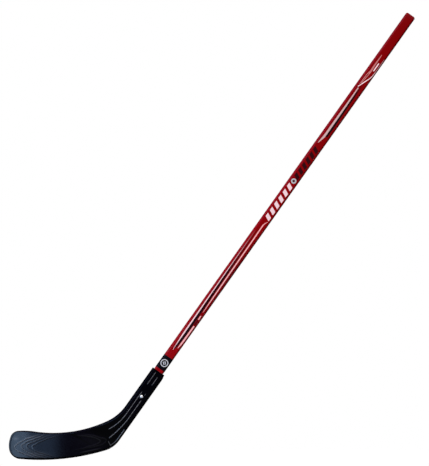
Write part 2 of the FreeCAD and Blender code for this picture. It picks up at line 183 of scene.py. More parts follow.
class Look:
    """A node material around one Principled shader. Its texture space is the shaft frame, in metres."""

    def __init__(self, name, **constants):
        self.material = bpy.data.materials.new(name)
        self.material.use_nodes = True
        self.nodes = self.material.node_tree.nodes
        self.links = self.material.node_tree.links
        self.shader = self.nodes["Principled BSDF"]
        for socket, value in constants.items():
            self.shader.inputs[socket.replace("_", " ")].default_value = value
        place = self.node("ShaderNodeTexCoord").outputs["Object"]
        turn = self.node("ShaderNodeMapping")
        turn.inputs["Rotation"].default_value = (0, LIE, 0)
        turn.inputs["Location"].default_value = (-FOOT.x * UP.real, -FOOT.y, FOOT.x * UP.imag)
        self.links.new(place, turn.inputs["Vector"])
        self.space = turn.outputs["Vector"]

    def node(self, kind, **properties):
        node = self.nodes.new(kind)
        for name, value in properties.items():
            setattr(node, name, value)
        return node

    def stretched(self, along, through, across):
        """The texture space, squeezed by these factors."""
        node = self.node("ShaderNodeVectorMath", operation="MULTIPLY")
        self.links.new(self.space, node.inputs[0])
        node.inputs[1].default_value = (along, through, across)
        return node.outputs[0]

    def noise(self, scale, detail=3.0, space=None, distortion=0.0):
        """Noise from 0 to 1. scale is how many of its patches fit in a metre."""
        node = self.node("ShaderNodeTexNoise")
        node.inputs["Scale"].default_value = scale
        node.inputs["Detail"].default_value = detail
        node.inputs["Distortion"].default_value = distortion
        self.links.new(space or self.space, node.inputs["Vector"])
        return node.outputs["Fac"]

    def attribute(self, name):
        """A number stored on the mesh's vertices."""
        return self.node("ShaderNodeAttribute", attribute_name=name).outputs["Fac"]

    def place(self, axis):
        """Distance up the shaft for X and across it for Z, in metres."""
        node = self.node("ShaderNodeSeparateXYZ")
        self.links.new(self.space, node.inputs[0])
        return node.outputs[axis]

    def spread(self, value, low, high, to_low, to_high):
        """value, mapped from low..high to to_low..to_high and held there beyond them."""
        node = self.node("ShaderNodeMapRange")
        for socket, number in zip(("From Min", "From Max", "To Min", "To Max"), (low, high, to_low, to_high)):
            node.inputs[socket].default_value = number
        self.links.new(value, node.inputs["Value"])
        return node.outputs["Result"]

    def mix(self, share, first, second):
        """first and second are colours or colour sockets."""
        node = self.node("ShaderNodeMix", data_type="RGBA")
        self.links.new(share, node.inputs["Factor"])
        for socket, colour in (("A", first), ("B", second)):
            target = next(i for i in node.inputs if i.name == socket and i.type == "RGBA")
            if isinstance(colour, tuple):
                target.default_value = (*colour, 1)
            else:
                self.links.new(colour, target)
        return next(o for o in node.outputs if o.type == "RGBA")

    def multiply(self, first, second):
        node = self.node("ShaderNodeMath", operation="MULTIPLY")
        self.links.new(first, node.inputs[0])
        self.links.new(second, node.inputs[1])
        return node.outputs[0]

    def colour(self, socket):
        self.links.new(socket, self.shader.inputs["Base Color"])

    def roughness(self, value, low, high):
        """Roughness that goes from low to high with a value, such as a noise."""
        self.links.new(self.spread(value, 0.3, 0.7, low, high), self.shader.inputs["Roughness"])

    def bumps(self, *layers):
        """Bump layers of (height socket, depth in metres)."""
        normal = None
        for height, depth in layers:
            node = self.node("ShaderNodeBump")
            node.inputs["Distance"].default_value = depth
            self.links.new(height, node.inputs["Height"])
            if normal is not None:
                self.links.new(normal, node.inputs["Normal"])
            normal = node.outputs["Normal"]
        self.links.new(normal, self.shader.inputs["Normal"])


# The film's reds, and where they change: along and across are in metres, the shades are shares.
FILM_LOW = (0.32, 0.0002, 0.0006)
FILM_HIGH = (0.17, 0.0002, 0.0006)
FILM_SHADE = (0.085, 0.0, 0.001)
FILM_DEEPENS = (0.35, 1.4)
SHADE_STARTS = (0.40, 0.60)
SHADE_ENDS = (0.62, 0.76)
SHADE_ACROSS = (-0.005, 0.004)
SHADE_AT_BACK, SHADE_AT_FRONT = 0.7, 0.15
CLOUD_SHADE = 0.22
SPECKLE_SHARE = 0.95


def film_colour(look):
    """The film's red: brighter near the blade, deeper towards the butt, and a little uneven. Between the
    lower lines it is darker, most of all along the edge on the hosel's back side."""
    along, across = look.place("X"), look.place("Z")
    red = look.mix(look.spread(along, *FILM_DEEPENS, 0, 1), FILM_LOW, FILM_HIGH)
    shade = look.multiply(look.spread(along, *SHADE_STARTS, 0, 1), look.spread(along, *SHADE_ENDS, 1, 0))
    side = look.spread(across, *SHADE_ACROSS, SHADE_AT_BACK, SHADE_AT_FRONT)
    red = look.mix(look.multiply(shade, side), red, FILM_SHADE)
    cloud = look.noise(9.0, detail=2.0, space=look.stretched(0.4, 1, 1))
    return look.mix(look.spread(cloud, 0.35, 0.75, 0, CLOUD_SHADE), red, FILM_SHADE)


def film_surface(look):
    """Orange peel and faint lengthwise lines under the gloss, shared by the film and what's printed in it."""
    peel = look.noise(420.0, detail=2.0)
    lines = look.noise(70.0, space=look.stretched(0.04, 4, 4))
    look.bumps((peel, 0.00004), (lines, 0.00006))
    look.roughness(look.noise(30.0, detail=4.0, space=look.stretched(0.3, 1, 1)), 0.14, 0.24)


def film_look(name):
    """The gloss that the film and what's printed in it share."""
    return Look(name, Coat_Weight=0.2, Coat_Roughness=0.12, Specular_IOR_Level=0.35)


def red_film():
    look = film_look("red_film")
    look.colour(film_colour(look))
    film_surface(look)
    return look.material


def printed(name, ink, fades=(), share=1.0):
    """Ink printed in the film, which hides this share of the film's red. Along the shaft it fades out
    between each pair of distances in fades, in metres."""
    look = film_look(name)
    red = film_colour(look)
    speckle = look.noise(1500.0, detail=1.0)
    strength = look.spread(speckle, 0.25, 0.5, share * SPECKLE_SHARE, share)
    for start, finish in fades:
        strength = look.multiply(strength, look.spread(look.place("X"), start, finish, 1, 0))
    look.colour(look.mix(strength, red, ink))
    film_surface(look)
    return look.material


def lacquer():
    """Dipped lacquer, duller than the film and slightly wavy."""
    look = Look("red_lacquer", Specular_IOR_Level=0.06)
    look.colour(look.mix(look.noise(60.0), (0.17, 0.0006, 0.002), (0.13, 0.0006, 0.002)))
    look.roughness(look.noise(120.0, detail=2.0), 0.36, 0.48)
    look.bumps((look.noise(160.0, detail=2.0), 0.0001))
    return look.material


def black_label(name, dark, light):
    """Semi-gloss label, mottled between two colours."""
    look = Look(name, Specular_IOR_Level=0.35)
    look.colour(look.mix(look.noise(200.0), dark, light))
    look.roughness(look.noise(90.0), 0.2, 0.28)
    look.bumps((look.noise(500.0, detail=2.0), 0.00003))
    return look.material


# Grey painted onto ridge tops and a few patches of the blade as highlight, standing in for light they catch.
HIGHLIGHT_GREY = (0.260, 0.250, 0.245)


def black_abs():
    """Moulded black plastic: a fine grain, slightly glossier and duller patches, and painted highlights:
    grey painted on the tops of ribs and grain and in a few soft patches, standing in for light that catches
    them."""
    look = Look("black_abs", Specular_IOR_Level=0.2)
    cloud = look.noise(14.0, detail=4.0)
    black = look.mix(cloud, (0.0002, 0.0002, 0.0004), (0.0005, 0.0005, 0.0008))
    patchy = look.spread(look.noise(260.0), 0.3, 0.6, 0.55, 1.0)
    # Painted highlight: grey mixed into the black wherever the mesh's stored highlight values say light
    # catches.
    worn = look.multiply(look.attribute("painted_highlight"), patchy)
    look.colour(look.mix(worn, black, HIGHLIGHT_GREY))
    look.roughness(look.noise(40.0, detail=5.0), 0.12, 0.17)
    flow = look.noise(120.0, space=look.stretched(0.25, 1, 1))
    look.bumps((look.noise(1100.0, detail=2.0), 0.00001), (flow, 0.00003))
    return look.material


def wood(name, early, late):
    """Veneer with its grain along the shaft."""
    look = Look(name, Specular_IOR_Level=0.3)
    grain = look.noise(120.0, detail=6.0, space=look.stretched(0.05, 2, 1), distortion=0.4)
    look.colour(look.mix(look.spread(grain, 0.35, 0.65, 0, 1), early, late))
    look.roughness(grain, 0.55, 0.7)
    look.bumps((grain, 0.0001))
    return look.material


def hot_melt():
    """Set glue, cloudy and yellowish."""
    look = Look("hot_melt", Subsurface_Weight=0.4, Subsurface_Scale=0.002)
    look.colour(look.mix(look.noise(200.0), (0.62, 0.54, 0.33), (0.75, 0.68, 0.48)))
    look.roughness(look.noise(150.0, detail=2.0), 0.35, 0.5)
    look.bumps((look.noise(300.0, detail=2.0), 0.0001))
    return look.material


def zinc():
    """Zinc plate. It is only half metallic, because the dim world would leave full metal dark."""
    look = Look("zinc_screw", Metallic=0.5)
    look.colour(look.mix(look.noise(900.0), (0.92, 0.91, 0.89), (1.0, 0.99, 0.97)))
    look.roughness(look.noise(600.0), 0.45, 0.6)
    look.bumps((look.noise(1800.0, detail=2.0), 0.00002))
    return look.material


CREAM = (0.98, 0.62, 0.60)
PINK = (0.98, 0.43, 0.40)
GREY = (0.56, 0.36, 0.335)
INK_BLACK = (0.010, 0.0015, 0.002)

node_looks = {
    "printed_film": red_film(),
    "butt_seal": lacquer(),
    "badge_band": black_label("black_label", (0.001, 0.0005, 0.0006), (0.003, 0.0015, 0.002)),
    "glue_sleeve": hot_melt(),
    "blade_screw": zinc(),
}
veneers = [
    wood("birch", (0.80, 0.64, 0.44), (0.62, 0.45, 0.28)),
    wood("poplar", (0.84, 0.77, 0.60), (0.68, 0.60, 0.40)),
]
for number in range(1, PLIES + 1):
    node_looks[f"shaft_ply_{number}"] = veneers[(number + 1) % 2]
for name, material in node_looks.items():
    mesh = frame["nodes"][name].data
    mesh.materials.clear()
    mesh.materials.append(material)


# ---------------------------------------------------------------- blade outline
#
# The outline is a chain of arcs that touch. Each arc is (centre, radius), with a negative radius where
# the edge is hollow.


def blend(first, second, radius):
    """The arc of this radius that touches two arcs, to the right of the way from first to second."""
    (a, ra), (b, rb) = first, second
    da, db = abs(ra - radius), abs(rb - radius)
    gap = abs(b - a)
    along = (da**2 - db**2 + gap**2) / (2 * gap)
    return a + (b - a) / gap * complex(along, -math.sqrt(da**2 - along**2)), radius


def blend_to_edge(arc, edge, radius, inside):
    """The arc that touches another arc and the hosel's straight edge, and s of its centre. inside is
    +1 if the stick lies in front of that edge, and -1 if it lies behind it."""
    centre, other = arc
    across = edge + inside * radius
    foot_s, foot_across = shaft_frame(centre)
    s = foot_s - math.sqrt((other - radius) ** 2 - (across - foot_across) ** 2)
    return (plane(s, across), radius), s


def touch(first, second):
    """The point where two touching arcs meet."""
    (a, ra), (b, rb) = first, second
    return a + (a - b) / (rb - ra) * ra


def arc_points(arc, start, finish):
    """Points along an arc, and the unit vectors that point into the blade there."""
    centre, radius = arc
    turn = cmath.phase((finish - centre) / (start - centre))
    points = centre + (start - centre) * np.exp(1j * turn * np.linspace(0, 1, ARC_SAMPLES))
    return points, (centre - points) / radius


def hosel_edge(first, last, front):
    """The same along the hosel's front or back edge, between two distances up the shaft."""
    s = np.linspace(first, last, ARC_SAMPLES)
    setback = MOUTH_SETBACK * ease((s - MOUTH + MOUTH_SHOULDER) / MOUTH_SHOULDER)
    across = np.full_like(s, HOSEL_FRONT) if front else setback - HOSEL_BACK
    return plane(s, across), np.full(ARC_SAMPLES, -FRONT if front else FRONT)


def chain_of(*parts):
    """Joins (points, inward) parts end to end."""
    points = np.concatenate([parts[0][0]] + [p[1:] for p, _ in parts[1:]])
    inward = np.concatenate([parts[0][1]] + [n[1:] for _, n in parts[1:]])
    return points, inward


def resample(chain, marks, counts):
    """Even steps along a chain, counts of them up to each mark and to its end."""
    points, inward = chain
    length = np.concatenate([[0], np.cumsum(abs(np.diff(points)))])
    places = [0, *(length[mark] for mark in marks), length[-1]]
    at = [np.linspace(a, b, n, endpoint=False) for a, b, n in zip(places, places[1:], counts)]
    at = np.concatenate([*at, [length[-1]]])
    points, inward = (
        np.interp(at, length, values.real) + 1j * np.interp(at, length, values.imag)
        for values in (points, inward)
    )
    return points, inward / abs(inward)


def blade_sides():
    """The outline as three sides: bottom and top run from the toe to the mouth, and toe runs up."""
    sole = (complex(SOLE_LOW_X, SOLE_RADIUS), SOLE_RADIUS)
    toe = (complex(TOE_X + TOE_RADIUS, TOE_HEIGHT), TOE_RADIUS)
    waist = (WAIST + 1j * WAIST_RADIUS, -WAIST_RADIUS)
    step = CROWN - waist[0]
    crown_radius = (abs(step) ** 2 - WAIST_RADIUS**2) / (2 * (WAIST_RADIUS + step.imag))
    crown = (CROWN - 1j * crown_radius, crown_radius)
    heel, heel_top = blend_to_edge(sole, -HOSEL_BACK, HEEL_RADIUS, 1)
    throat, throat_top = blend_to_edge(waist, HOSEL_FRONT, -THROAT_RADIUS, -1)
    lower = blend(sole, toe, TOE_LOWER_RADIUS)
    upper = blend(toe, crown, TOE_UPPER_RADIUS)

    top_s = MOUTH - MOUTH_EDGE
    lower_chain = arc_points(lower, touch(sole, lower), touch(lower, toe))
    upper_chain = arc_points(upper, touch(toe, upper), touch(upper, crown))
    half = ARC_SAMPLES // 2
    bottom = chain_of(
        tuple(values[half::-1] for values in lower_chain),
        arc_points(sole, touch(sole, lower), touch(heel, sole)),
        arc_points(heel, touch(heel, sole), plane(heel_top, -HOSEL_BACK)),
        hosel_edge(heel_top, top_s, front=False),
    )
    top = chain_of(
        tuple(values[half:] for values in upper_chain),
        arc_points(crown, touch(upper, crown), touch(crown, waist)),
        arc_points(waist, touch(crown, waist), touch(waist, throat)),
        arc_points(throat, touch(waist, throat), plane(throat_top, HOSEL_FRONT)),
        hosel_edge(throat_top, top_s, front=True),
    )
    toe_side = chain_of(
        tuple(values[half:] for values in lower_chain),
        arc_points(toe, touch(lower, toe), touch(toe, upper)),
        tuple(values[: half + 1] for values in upper_chain),
    )
    sides = []
    for chain in (bottom, top):
        turn = int(np.argmax(chain[0].real > TURN_START_X))
        full = int(np.argmax(shaft_frame(chain[0])[0] > HOSEL_FULL))
        sides.append(resample(chain, (turn, full), STEPS_ALONG))
    return (*sides, resample(toe_side, (), (STEPS_ACROSS,)))


# ---------------------------------------------------------------- blade surface

RIB_BENDS = {
    # rib's distance from the axis: how far up the shaft its line bends, and the radius below the bend
    4.6: (145.0, 127.0),
    -7.1: (145.0, 253.0),
    -15.3: (80.0, 56.0),
}
RIBS = [
    # from the axis, lower end, upper end, height, how bright its painted highlight is
    (4.6, 84.6, 219.0, 0.8, 1.0),
    (4.6, 240.0, 282.0, 0.7, 0.75),
    (-7.1, 66.1, 199.0, 0.8, 1.0),
    (-7.1, 211.0, 221.0, 0.5, 0.4),
    (-7.1, 245.0, 274.0, 0.6, 0.75),
    (-15.3, 52.0, 112.0, 0.6, 0.5),
]
RIB_HALF = 1.25
RIB_FADE = 5.0
RIB_BEND_LIMIT = 0.95
HEEL_LINK = (complex(33.5, 49.0), complex(39.5, 37.5))
HEEL_LINK_HEIGHT = 0.35
# Painted highlight on the heel link's top, and how sharply painted highlight gathers on a rib's top.
HEEL_LINK_HIGHLIGHT = 0.3
HIGHLIGHT_SHARPNESS = 1.5

# Moulded wood grain: low nested arches that open towards the middle of the blade. An arm at a distance
# along from its tip is rise * along ** (1 / power) above or below it.
STRAIGHT, ROUND = 1.4, 2.0
ARCHES = [
    # tip, way it opens, (rise, power) of the upper and of the lower arm, how bright its painted highlight is
    (complex(-214.5, 36.0), 1, (1.60, STRAIGHT), (3.9, ROUND), 0.40),
    (complex(-196.5, 37.0), 1, (1.55, STRAIGHT), (4.0, ROUND), 0.34),
    (complex(-182.0, 37.0), 1, (1.45, STRAIGHT), (3.9, ROUND), 0.16),
    (complex(-167.0, 36.0), 1, (1.40, STRAIGHT), (3.6, ROUND), 0.10),
    (complex(28.0, 52.0), -1, (2.0, ROUND), (3.0, ROUND), 0.03),
    (complex(12.0, 51.0), -1, (1.9, ROUND), (2.9, ROUND), 0.04),
]
# The waves that the arches follow: (height, length along the blade and length up it, each per radian).
WAVES = [(0.8, 9.0, math.inf), (0.4, 4.1, 11.0)]
ARCH_HEIGHT = 0.14
ARCH_HALF = 2.4
ARCH_LENGTH = 80.0
ARCH_FADE = 50.0
# Share of the painted highlight that the grain's lower arms get.
LOWER_ARM_HIGHLIGHT = 0.65
# Soft patches of painted highlight: near the toe's top corner, along the top and bottom edges, and over the
# heel.
HIGHLIGHT_PATCHES = [
    # middle, half its length, half its height, how bright its painted highlight is
    (complex(-211.0, 56.0), 7.0, 4.0, 0.24),
    (complex(-172.0, 60.0), 26.0, 5.0, 0.06),
    (complex(-160.0, 16.0), 30.0, 5.0, 0.07),
    (complex(-8.0, 50.0), 34.0, 15.0, 0.012),
]
SOLE_SWELL = (complex(-46.0, 18.0), complex(20.0, 32.0))
SWELL_HALF = 2.2
SWELL_HEIGHT = 0.2
# Painted highlight along the sole's swelling.
SWELL_HIGHLIGHT = 0.06
SWELL_FADE = 0.3


def bead(distance, half, height):
    """A rounded ridge along a line, from the distance to that line."""
    return height * np.cos(np.pi / 2 * np.clip(abs(distance) / half, 0, 1)) ** 2


def segment_distance(point, start, finish):
    """Distance from points to a straight line between two points."""
    share = ((point - start) / (finish - start)).real
    return abs(point - start - np.clip(share, 0, 1) * (finish - start))


def ribs(point):
    """Each rib as (ridge across it from 0 to 1, its height, how bright its painted highlight is)."""
    yield bead(segment_distance(point, *HEEL_LINK), RIB_HALF, 1.0), HEEL_LINK_HEIGHT, HEEL_LINK_HIGHLIGHT
    s, across = shaft_frame(point)
    for line, lower, upper, height, shine in RIBS:
        bend, radius = RIB_BENDS[line]
        drop = np.clip(bend - s, 0, radius * RIB_BEND_LIMIT)
        level = np.sqrt(radius**2 - drop**2)
        distance = (across - line - radius + level) * level / radius
        ends = ease((s - lower) / RIB_FADE) * ease((upper - s) / RIB_FADE)
        yield bead(distance, RIB_HALF, 1.0) * ends, height, shine


def sole_swell(point):
    """The low swelling along the sole near the heel, from 0 to 1."""
    start, finish = SOLE_SWELL
    share = ((point - start) / (finish - start)).real
    ends = ease(share / SWELL_FADE) * ease((1 - share) / SWELL_FADE)
    return bead(segment_distance(point, start, finish), SWELL_HALF, 1.0) * ends


def arches(point):
    """Each arch of the grain as (ridge across it from 0 to 1, how bright its painted highlight is)."""
    wave = sum(swing * np.sin(point.real / along + point.imag / up) for swing, along, up in WAVES)
    for tip, way, upper, lower, shine in ARCHES:
        along, height = way * (point - tip).real, (point - tip).imag + wave
        rise, power = np.where(height > 0, *[np.reshape(arm, (2, 1, 1)) for arm in (upper, lower)])
        slope = abs(height) / rise
        steepness = power * slope ** (power - 1) / rise
        distance = (along - slope**power) / np.sqrt(1 + steepness**2)
        fade = ease((ARCH_LENGTH - along) / ARCH_FADE)
        yield bead(distance, ARCH_HALF, 1.0) * fade, shine * np.where(height > 0, 1, LOWER_ARM_HIGHLIGHT)


def relief(point):
    """How far the ribs and the grain stand up from the blade."""
    height = sole_swell(point) * SWELL_HEIGHT
    for ridge, rib_height, _ in ribs(point):
        height = np.maximum(height, ridge * rib_height)
    for ridge, _ in arches(point):
        height = np.maximum(height, ridge * ARCH_HEIGHT)
    return height


def painted_highlight(point):
    """How much grey highlight is painted on the plastic, from 0 to 1: on the tops of ribs and grain, and in a
    few soft patches, standing in for light that catches them.
    """
    worn = sole_swell(point) * SWELL_HIGHLIGHT
    for ridge, _, shine in ribs(point):
        worn = np.maximum(worn, ridge**HIGHLIGHT_SHARPNESS * shine)
    for ridge, shine in arches(point):
        worn = np.maximum(worn, ridge * shine)
    for middle, half_length, half_height, shine in HIGHLIGHT_PATCHES:
        out = point - middle
        worn = worn + shine * np.exp(-((out.real / half_length) ** 2) - (out.imag / half_height) ** 2)
    return np.clip(worn, 0, 1)


def wedge_half(s):
    """Half the hosel's thickness along the shaft, fading into the blade."""
    share = np.linspace(0, 1, WEDGE_SAMPLES)
    reach = (HOSEL_FULL - HOSEL_FADE) * WEDGE_REACH
    path = (
        HOSEL_FADE * (1 - share) ** 3
        + 3 * (HOSEL_FADE + reach) * share * (1 - share) ** 2
        + 3 * (HOSEL_FULL - reach) * share**2 * (1 - share)
        + HOSEL_FULL * share**3
    )
    half = FADE_HALF + (HOSEL_HALF - FADE_HALF) * ease(share)
    return np.interp(s, path, half) - FADE_SLOPE * np.maximum(HOSEL_FADE - s, 0)


def smooth_max(a, b, blend_width):
    """The larger of two heights, with the corner between them rounded off."""
    overlap = np.maximum(blend_width - abs(a - b), 0) / blend_width
    return np.maximum(a, b) + overlap**2 * blend_width / 4


def sheet_y(point, side):
    """y of the blade's near or far face."""
    x = np.minimum(point.real, 0)
    middle = CURVE_RADIUS - np.sqrt(CURVE_RADIUS**2 - x**2)
    plate = HEEL_HALF + (TOE_HALF - HEEL_HALF) * x / TOE_X
    out = smooth_max(plate + side * middle, wedge_half(shaft_frame(point)[0]), SECTION_BLEND)
    return side * (out + relief(point))


def coons(bottom, top, left, right):
    """A patch that fills in between four sides."""
    u = np.linspace(0, 1, len(bottom))[:, None]
    v = np.linspace(0, 1, len(left))[None, :]
    ruled = (1 - v) * bottom[:, None] + v * top[:, None] + (1 - u) * left + u * right
    low = (1 - u) * left[0] + u * right[0]
    high = (1 - u) * left[-1] + u * right[-1]
    return ruled - (1 - v) * low - v * high


def socket_wall(point):
    """The nearest points of the socket's section. Sections are complex numbers, y and across."""
    core = SOCKET_HALF - complex(SOCKET_CORNER, SOCKET_CORNER)
    inner = np.clip(point.real, -core.real, core.real) + 1j * np.clip(point.imag, -core.imag, core.imag)
    out = point - inner
    return inner + out / abs(out) * SOCKET_CORNER


def around_mouth(faces, steps):
    """Values in order round the mouth, from each side's face and its steps round the rim. A step's first
    value lies at the hosel's back edge, and its last at the front edge."""
    near, far = steps[NEAR], steps[FAR]
    parts = [
        faces[NEAR],
        [step[-1] for step in near],
        [step[-1] for step in far[::-1]],
        faces[FAR][::-1],
        [step[0] for step in far],
        [step[0] for step in near[::-1]],
    ]
    return np.concatenate(parts)


def mouth_levels(outer):
    """Loops from the hosel's outside into its socket, as (section, distance up the shaft): round the
    mouth's outer edge, across its face, round its inner edge, down the socket and across its floor."""
    wall = socket_wall(outer)
    inward = (wall - outer) / abs(wall - outer)
    for angle in np.linspace(0, np.pi / 2, STEPS_MOUTH + 1)[1:]:
        section = outer + inward * MOUTH_EDGE * (1 - math.cos(angle))
        yield section, MOUTH - MOUTH_EDGE * (1 - math.sin(angle))
    for angle in np.linspace(0, np.pi / 2, STEPS_SOCKET_EDGE + 1):
        section = wall - inward * SOCKET_EDGE * (1 - math.sin(angle))
        yield section, MOUTH - SOCKET_EDGE * (1 - math.cos(angle))
    for s in np.linspace(MOUTH - SOCKET_TOP_LOOP, SOCKET_FLOOR, SOCKET_LOOPS):
        yield wall, s
    for share in FLOOR_SHARES:
        yield wall * share, SOCKET_FLOOR


class Skin:
    """The blade's mesh while it grows."""

    def __init__(self):
        self.vertices, self.worn, self.faces = [], [], []
        self.count = 0

    def add(self, points, worn=0.0):
        """Adds vertices in the row frame, and how much painted highlight they get, and gives their numbers.
        """
        ids = np.arange(self.count, self.count + len(points))
        self.vertices.append(points)
        self.worn.append(np.broadcast_to(worn, len(points)))
        self.count += len(points)
        return ids


def build_blade():
    """The blade, its hosel and its socket as one closed mesh."""
    (bottom, bottom_in), (top, top_in), (toe, toe_in) = blade_sides()

    rim = np.concatenate([bottom[::-1], toe[1:-1], top])
    rim_in = np.concatenate([bottom_in[::-1], toe_in[1:-1], top_in])
    share = ease((shaft_frame(rim)[0] - EDGE_START) / EDGE_GROWTH)
    radius = BLADE_EDGE + (HOSEL_EDGE - BLADE_EDGE) * share
    reach = BLADE_EDGE_REACH + (HOSEL_EDGE - BLADE_EDGE_REACH) * share
    inner = rim + rim_in * reach
    last = len(bottom)
    bottom_line = inner[:last][::-1]
    top_line = inner[-last:]
    left = np.concatenate([[bottom_line[0]], inner[last:-last], [top_line[0]]])
    right = np.linspace(bottom_line[-1], top_line[-1], len(left))
    patch = coons(bottom_line, top_line, left, right)

    # Each side's face, and the rings round its half of the rim. ends holds a ring's two ends in section.
    skin = Skin()
    sheets, rings, ends = {}, {}, {}
    for side in (NEAR, FAR):
        y = sheet_y(patch, side)
        ids = skin.add(row(patch, y), painted_highlight(patch).ravel()).reshape(patch.shape)
        sheets[side] = ids
        edge_ids, edge_y = (np.concatenate([v[::-1, 0], v[0, 1:-1], v[:, -1]]) for v in (ids, y))
        rings[side], ends[side] = [edge_ids], [y[-1] + 1j * shaft_frame(patch[-1])[1]]
        for step in range(1, STEPS_ROUND + 1):
            angle = math.pi / 2 * (1 - step / STEPS_ROUND)
            points = rim + rim_in * reach * (1 - math.cos(angle))
            ring_y = edge_y - side * radius * (1 - math.sin(angle))
            rings[side].append(skin.add(row(points, ring_y)))
            ends[side].append(ring_y[[0, -1]] + 1j * shaft_frame(points[[0, -1]])[1])

    around = rings[NEAR] + rings[FAR][::-1]
    skin.faces += [grid_faces(sheets[NEAR].T), grid_faces(sheets[FAR])]
    skin.faces += [strip(a, b) for a, b in zip(around, around[1:])]

    tops = {side: sheets[side][-1] for side in sheets}
    loop = around_mouth(tops, {side: rings[side][1:] for side in rings})
    outer = around_mouth({side: ends[side][0] for side in ends}, {side: ends[side][1:] for side in ends})
    for section, s in mouth_levels(outer):
        next_loop = skin.add(row(plane(s, section.imag), section.real))
        skin.faces.append(strip(next_loop, loop, closed=True))
        loop = next_loop
    middle = int(skin.add(row(plane(SOCKET_FLOOR, np.zeros(1)), np.zeros(1)))[0])
    fan = [[middle, int(b), int(a)] for a, b in zip(loop, np.roll(loop, -1))]

    faces = np.concatenate(skin.faces).tolist() + fan
    blade = new_piece("moulded_blade", np.concatenate(skin.vertices), faces, black_abs())
    # The painted highlight of each vertex, which the material turns into grey.
    highlight_values = blade.data.attributes.new("painted_highlight", "FLOAT", "POINT").data
    highlight_values.foreach_set("value", np.concatenate(skin.worn))
    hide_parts("blade")


build_blade()


# ---------------------------------------------------------------- print on the film


def skin_y(across, lift):
    """y of the shaft's near face, lifted off the film, at a distance across from the axis."""
    flat = SHAFT_WIDTH / 2 - SHAFT_CORNER
    past = np.maximum(abs(across) - flat, 0)
    radius = SHAFT_CORNER + lift
    return SHAFT_THICKNESS / 2 - SHAFT_CORNER + np.sqrt(radius**2 - np.minimum(past, radius) ** 2)


# How far print stands proud of the surface, and how far it reaches below. The black lines and the wash
# lie a little lower, so that what is printed over them shows.
PRINT_LIFT = 0.08
UNDERPRINT_LIFT = 0.06
PRINT_SINK = 0.05


def decal(name, patches, material, lift=PRINT_LIFT, base=0.0):
    """Thin printed shapes, the same on both faces of the shaft. Each patch is (grid of shaft frame points,
    closed). They stand lift proud of the surface, which is itself base above the film."""
    vertices, faces, count = [], [], 0
    for grid, closed in patches:
        s, across = grid.real, grid.imag
        rows, columns = grid.shape
        for side in (NEAR, FAR):
            ids = np.arange(count, count + 2 * grid.size).reshape(2, rows, columns)
            for height in (base + lift, base - PRINT_SINK):
                vertices.append(row(plane(s, across), side * skin_y(across, height)))
            if closed:
                ids = np.concatenate([ids, ids[:, :1]], axis=1)
            front, back = (ids[0], ids[1]) if side == FAR else (ids[1], ids[0])
            faces.append(grid_faces(front))
            faces.append(grid_faces(back.T))
            faces.append(strip(front[:, 0], back[:, 0]))
            faces.append(strip(back[:, -1], front[:, -1]))
            if not closed:
                faces.append(strip(back[0], front[0]))
                faces.append(strip(front[-1], back[-1]))
            count += 2 * grid.size
    new_piece(name, np.concatenate(vertices), np.concatenate(faces), material, smooth=False)


def smooth_values(places, values, at):
    """A smooth line through values given at places, with no overshoot."""
    places, values = np.array(places, float), np.array(values, float)
    steps = np.diff(values) / np.diff(places)
    slopes = np.concatenate([[steps[0]], (steps[1:] + steps[:-1]) / 2, [steps[-1]]])
    slopes[1:-1][steps[1:] * steps[:-1] <= 0] = 0
    index = np.clip(np.searchsorted(places, at) - 1, 0, len(steps) - 1)
    span = places[index + 1] - places[index]
    share = (at - places[index]) / span
    rise = ease(share)
    lead = share * (1 - share) ** 2 * slopes[index]
    trail = share**2 * (1 - share) * slopes[index + 1]
    return values[index] * (1 - rise) + values[index + 1] * rise + span * (lead - trail)


def stripe(*stations, columns=5, step=5.0):
    """A long printed stripe through stations of (s, lower edge, upper edge)."""
    places, lower, upper = zip(*stations)
    s = np.linspace(places[0], places[-1], max(int((places[-1] - places[0]) / step), 2) + 1)
    low, high = smooth_values(places, lower, s), smooth_values(places, upper, s)
    share = np.linspace(0, 1, columns)
    return s[:, None] + 1j * (low[:, None] * (1 - share) + high[:, None] * share), False


def slanted(start, length, low, high, lean, rows=5, columns=7):
    """A slanted bar: lean is how much further up the shaft its upper edge is."""
    share = np.linspace(0, 1, columns)
    s = np.linspace(start, start + length, rows)
    return s[:, None] + lean * share + 1j * (low + (high - low) * share), False


def ring(centre, outer, inner, sides=48, columns=5):
    """A ring of this many sides round a point of the shaft's face. With four sides it is a diamond."""
    angle = np.exp(-1j * np.linspace(0, 2 * np.pi, sides, endpoint=False))
    radii = np.linspace(inner, outer, columns)
    return centre + angle[:, None] * radii, True


def disc(centre, radius, steps=12):
    """A filled circle, as a square grid pushed out to round."""
    u, v = np.meshgrid(*[np.linspace(-1, 1, steps)] * 2, indexing="ij")
    return centre + radius * (u * np.sqrt(1 - v**2 / 2) + 1j * v * np.sqrt(1 - u**2 / 2)), False


